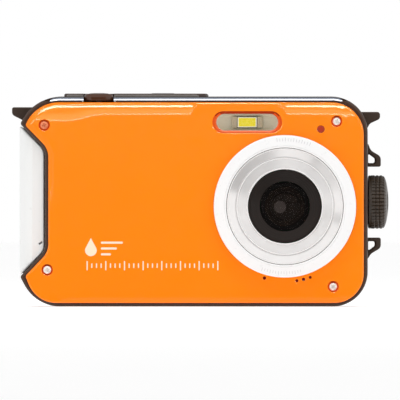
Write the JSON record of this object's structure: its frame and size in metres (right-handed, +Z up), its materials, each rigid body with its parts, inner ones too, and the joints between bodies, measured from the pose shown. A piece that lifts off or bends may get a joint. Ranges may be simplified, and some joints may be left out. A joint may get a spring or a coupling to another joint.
{
  "type": "waterproof compact camera",
  "caption": "Waterproof compact digital camera with an orange front, a flush round lens, a flash window, a rear screen with keys, and a side door locked by a knurled knob.",
  "frame": {"origin": "middle of the flat base, at half the width between the two side faces and near half the depth", "axes": "+X to the right of someone facing the lens, towards the side door; +Y from the lens side to the screen side; +Z up"},
  "size_m": [0.113, 0.0283, 0.0643],
  "materials": {
    "body_black": "glossy moulded plastic",
    "cover_orange": "glossy moulded orange plastic",
    "rear_black": "satin moulded plastic",
    "seal_red": "silicone gasket",
    "screw_chrome": "plated cross-head",
    "trim_chrome": "bright plated",
    "pad_black": "glossy",
    "grip_silver": "satin silver-white",
    "lug_black": "fine matt",
    "bezel_silver": "satin silver-white",
    "dish_silver": "turned, fine circular lines",
    "hood_black": "matt",
    "lens_glass": "coated glass",
    "barrel_black": "black anodised",
    "inner_black": "matt",
    "filter_glass": "tinted glass",
    "chip_black": "moulded chip",
    "board_green": "solder mask",
    "flash_clear": "clear, finely ribbed inside",
    "reflector_chrome": "metallised",
    "led_yellow": "phosphor",
    "lamp_red": "clear red plastic",
    "part_steel": "plain",
    "screen_glass": "smoked, glossy",
    "screen_panel": "dark display",
    "battery_grey": "wrapped cell",
    "contact_brass": "gold flash",
    "bush_steel": "turned",
    "shutter_black": "glossy",
    "key_silver": "satin silver",
    "key_black": "satin",
    "card_black": "matt",
    "catch_orange": "matt",
    "door_black": "satin",
    "knob_black": "fine matt, knurled rim",
    "ring_rubber": "o-ring"
  },
  "bodies": {
    "camera_body": {"main_housing": "body_black", "front_cover": "cover_orange", "rear_cover": "rear_black", "body_seal": "seal_red", "front_screw_upper_left": "screw_chrome", "front_screw_upper_right": "screw_chrome", "front_screw_lower_left": "screw_chrome", "front_screw_lower_right": "screw_chrome", "top_trim": "trim_chrome", "top_pad": "pad_black", "grip_panel": "grip_silver", "strap_lug_left": "lug_black", "strap_lug_right": "lug_black", "lens_bezel": "bezel_silver", "lens_dish": "dish_silver", "lens_hood": "hood_black", "lens_glass": "lens_glass", "lens_barrel": "barrel_black", "lens_element": "lens_glass", "lens_holder": "inner_black", "infrared_filter": "filter_glass", "image_sensor": "chip_black", "main_board": "board_green", "processor": "chip_black", "flash_window": "flash_clear", "flash_reflector": "reflector_chrome", "flash_led": "led_yellow", "timer_lamp": "lamp_red", "microphone": "part_steel", "speaker": "inner_black", "shutter_switch": "part_steel", "power_switch": "part_steel", "keypad_board": "board_green", "lcd_window": "screen_glass", "lcd_panel": "screen_panel", "battery_holder": "inner_black", "battery": "battery_grey", "battery_contact": "contact_brass", "card_socket": "part_steel", "usb_port": "part_steel", "tripod_bush": "bush_steel", "door_hinge_pin": "part_steel"},
    "shutter_button": {"shutter_button": "shutter_black"},
    "power_button": {"power_button": "key_silver"},
    "zoom_rocker": {"zoom_rocker": "key_silver"},
    "menu_button": {"menu_button": "key_silver"},
    "playback_button": {"playback_button": "key_silver"},
    "up_button": {"up_button": "key_black"},
    "down_button": {"down_button": "key_black"},
    "left_button": {"left_button": "key_black"},
    "right_button": {"right_button": "key_black"},
    "ok_button": {"ok_button": "key_silver"},
    "memory_card": {"memory_card": "card_black"},
    "battery_catch": {"battery_catch": "catch_orange"},
    "door": {"side_door": "door_black", "door_seal": "seal_red"},
    "lock": {"lock_knob": "knob_black", "lock_shaft": "part_steel", "shaft_seal": "ring_rubber", "latch_bar": "part_steel"}
  },
  "joints": [
    {"name": "shutter_press", "type": "slide", "parent": "camera_body", "child": "shutter_button", "axis": [0, 0, -1], "range_m": [0, 0.0006], "stiffness_N_per_m": 600, "springref_m": -0.0008},
    {"name": "power_press", "type": "slide", "parent": "camera_body", "child": "power_button", "axis": [0, 0, -1], "range_m": [0, 0.0005], "stiffness_N_per_m": 600, "springref_m": -0.0008},
    {"name": "zoom_tip", "type": "hinge", "parent": "camera_body", "child": "zoom_rocker", "pos_m": [-0.0325, 0.0104, 0.0515], "axis": [0, 0, 1], "range_deg": [-4, 4], "stiffness_Nm_per_rad": 0.03},
    {"name": "menu_press", "type": "slide", "parent": "camera_body", "child": "menu_button", "axis": [0, -1, 0], "range_m": [0, 0.0005], "stiffness_N_per_m": 600, "springref_m": -0.0008},
    {"name": "playback_press", "type": "slide", "parent": "camera_body", "child": "playback_button", "axis": [0, -1, 0], "range_m": [0, 0.0005], "stiffness_N_per_m": 600, "springref_m": -0.0008},
    {"name": "up_press", "type": "slide", "parent": "camera_body", "child": "up_button", "axis": [0, -1, 0], "range_m": [0, 0.0005], "stiffness_N_per_m": 600, "springref_m": -0.0008},
    {"name": "down_press", "type": "slide", "parent": "camera_body", "child": "down_button", "axis": [0, -1, 0], "range_m": [0, 0.0005], "stiffness_N_per_m": 600, "springref_m": -0.0008},
    {"name": "left_press", "type": "slide", "parent": "camera_body", "child": "left_button", "axis": [0, -1, 0], "range_m": [0, 0.0005], "stiffness_N_per_m": 600, "springref_m": -0.0008},
    {"name": "right_press", "type": "slide", "parent": "camera_body", "child": "right_button", "axis": [0, -1, 0], "range_m": [0, 0.0005], "stiffness_N_per_m": 600, "springref_m": -0.0008},
    {"name": "ok_press", "type": "slide", "parent": "camera_body", "child": "ok_button", "axis": [0, -1, 0], "range_m": [0, 0.0005], "stiffness_N_per_m": 600, "springref_m": -0.0008},
    {"name": "card_push", "type": "slide", "parent": "camera_body", "child": "memory_card", "axis": [-1, 0, 0], "range_m": [0, 0.0008], "stiffness_N_per_m": 200, "springref_m": -0.001},
    {"name": "battery_catch_slide", "type": "slide", "parent": "camera_body", "child": "battery_catch", "axis": [0, -1, 0], "range_m": [0, 0.0016], "stiffness_N_per_m": 100, "springref_m": -0.002},
    {"name": "door_swing", "type": "hinge", "parent": "camera_body", "child": "door", "pos_m": [0.0504, -0.0008, 0.0121], "axis": [0, 1, 0], "range_deg": [0, 90]},
    {"name": "lock_turn", "type": "hinge", "parent": "door", "child": "lock", "pos_m": [0.0525, -0.0008, 0.0314], "axis": [1, 0, 0], "range_deg": [0, 90]}
  ]
}
